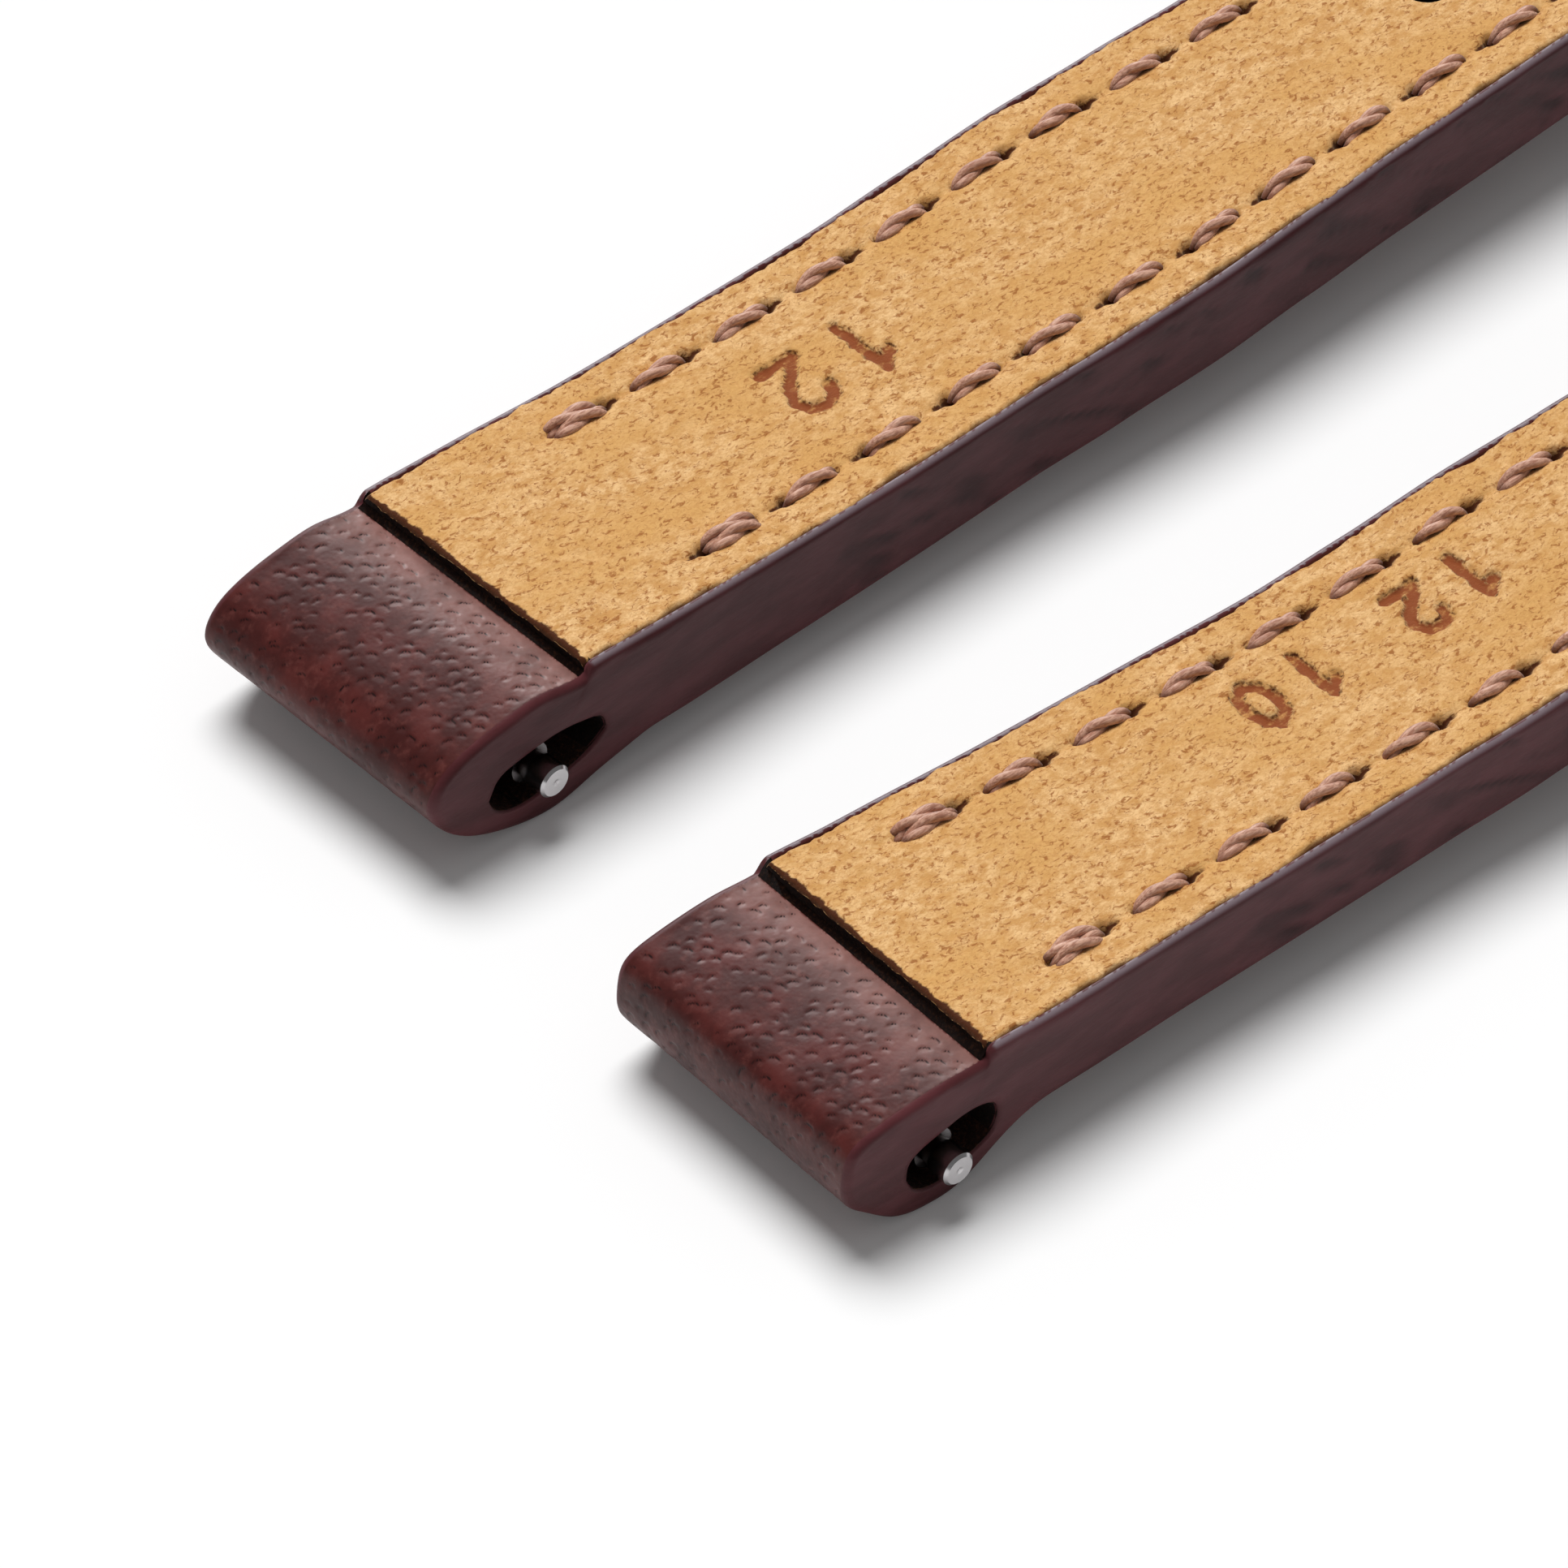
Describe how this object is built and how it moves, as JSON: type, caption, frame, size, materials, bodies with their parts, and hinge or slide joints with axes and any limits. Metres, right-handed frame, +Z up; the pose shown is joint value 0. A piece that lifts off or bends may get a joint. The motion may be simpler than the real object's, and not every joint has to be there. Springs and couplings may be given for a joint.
{
  "type": "leather watch strap",
  "caption": "Two-piece leather watch strap with suede lining, saddle stitching, sprung lug bars, keepers and a tang buckle, laid flat lining side up.",
  "frame": {"origin": "on the table, under the middle of the pair", "axes": "+X from the lug ends to the far ends, +Y across from the short half to the long half, +Z up, lining side up"},
  "size_m": [0.113, 0.0375, 0.0084],
  "materials": {
    "face_leather": "burgundy grained leather with painted edges",
    "suede_lining": "tan suede",
    "filler_board": "bonded leather filler",
    "loop_liner": "dark thin bonded leather",
    "thread": "waxed twisted thread",
    "bar_steel": "turned stainless steel",
    "spring_wire": "drawn spring wire",
    "buckle_steel": "satin polished stainless steel"
  },
  "bodies": {
    "short_strap": {"short_face_leather": "face_leather", "short_lining": "suede_lining", "short_filler": "filler_board", "short_loop_liner": "loop_liner", "short_stitching": "thread", "fixed_keeper": "face_leather"},
    "free_keeper": {"free_keeper": "face_leather"},
    "short_lug_bar": {"short_lug_bar_tube": "bar_steel", "short_lug_bar_spring": "spring_wire"},
    "short_lug_tip_left": {"short_lug_bar_tip_left": "bar_steel"},
    "short_lug_tip_right": {"short_lug_bar_tip_right": "bar_steel"},
    "buckle": {"buckle_frame": "buckle_steel"},
    "tang": {"buckle_tang": "buckle_steel"},
    "buckle_bar": {"buckle_bar_tube": "bar_steel", "buckle_bar_spring": "spring_wire"},
    "buckle_tip_left": {"buckle_bar_tip_left": "bar_steel"},
    "buckle_tip_right": {"buckle_bar_tip_right": "bar_steel"},
    "long_strap": {"long_face_leather": "face_leather", "long_lining": "suede_lining", "long_filler": "filler_board", "long_loop_liner": "loop_liner", "long_stitching": "thread"},
    "long_lug_bar": {"long_lug_bar_tube": "bar_steel", "long_lug_bar_spring": "spring_wire"},
    "long_lug_tip_left": {"long_lug_bar_tip_left": "bar_steel"},
    "long_lug_tip_right": {"long_lug_bar_tip_right": "bar_steel"}
  },
  "joints": [
    {"name": "long_half_apart", "type": "slide", "parent": "short_strap", "child": "long_strap", "axis": [0, 1, 0], "range_m": [0, 0.03]},
    {"name": "free_keeper_slide", "type": "slide", "parent": "short_strap", "child": "free_keeper", "axis": [0.9998, -0.0209, 0], "range_m": [-0.008, 0]},
    {"name": "buckle_hinge", "type": "hinge", "parent": "short_strap", "child": "buckle", "pos_m": [0.014, -0.01188, 0.0055], "axis": [0.0209, 0.9998, 0], "range_deg": [-130, 30]},
    {"name": "tang_hinge", "type": "hinge", "parent": "buckle", "child": "tang", "pos_m": [0.014, -0.01188, 0.0055], "axis": [0.0209, 0.9998, 0], "range_deg": [0, 54]},
    {"name": "buckle_bar_turn", "type": "hinge", "parent": "buckle", "child": "buckle_bar", "pos_m": [0.014, -0.01188, 0.0055], "axis": [0.0209, 0.9998, 0], "continuous": true},
    {"name": "short_lug_bar_turn", "type": "hinge", "parent": "short_strap", "child": "short_lug_bar", "pos_m": [-0.05213, -0.01049, 0.00202], "axis": [0.0209, 0.9998, 0], "continuous": true},
    {"name": "long_lug_bar_turn", "type": "hinge", "parent": "long_strap", "child": "long_lug_bar", "pos_m": [-0.05067, 0.01161, 0.00232], "axis": [-0.0209, 0.9998, 0], "continuous": true},
    {"name": "short_lug_tip_left_push", "type": "slide", "parent": "short_lug_bar", "child": "short_lug_tip_left", "axis": [-0.0209, -0.9998, 0], "range_m": [0, 0.00085], "stiffness_N_per_m": 1500, "deforming": ["short_lug_bar_spring"]},
    {"name": "short_lug_tip_right_push", "type": "slide", "parent": "short_lug_bar", "child": "short_lug_tip_right", "axis": [0.0209, 0.9998, 0], "range_m": [0, 0.00085], "stiffness_N_per_m": 1500, "deforming": ["short_lug_bar_spring"]},
    {"name": "long_lug_tip_left_push", "type": "slide", "parent": "long_lug_bar", "child": "long_lug_tip_left", "axis": [0.0209, -0.9998, 0], "range_m": [0, 0.00085], "stiffness_N_per_m": 1500, "deforming": ["long_lug_bar_spring"]},
    {"name": "long_lug_tip_right_push", "type": "slide", "parent": "long_lug_bar", "child": "long_lug_tip_right", "axis": [-0.0209, 0.9998, 0], "range_m": [0, 0.00085], "stiffness_N_per_m": 1500, "deforming": ["long_lug_bar_spring"]},
    {"name": "buckle_tip_left_push", "type": "slide", "parent": "buckle_bar", "child": "buckle_tip_left", "axis": [-0.0209, -0.9998, 0], "range_m": [0, 0.00095], "stiffness_N_per_m": 1500, "deforming": ["buckle_bar_spring"]},
    {"name": "buckle_tip_right_push", "type": "slide", "parent": "buckle_bar", "child": "buckle_tip_right", "axis": [0.0209, 0.9998, 0], "range_m": [0, 0.00095], "stiffness_N_per_m": 1500, "deforming": ["buckle_bar_spring"]}
  ]
}
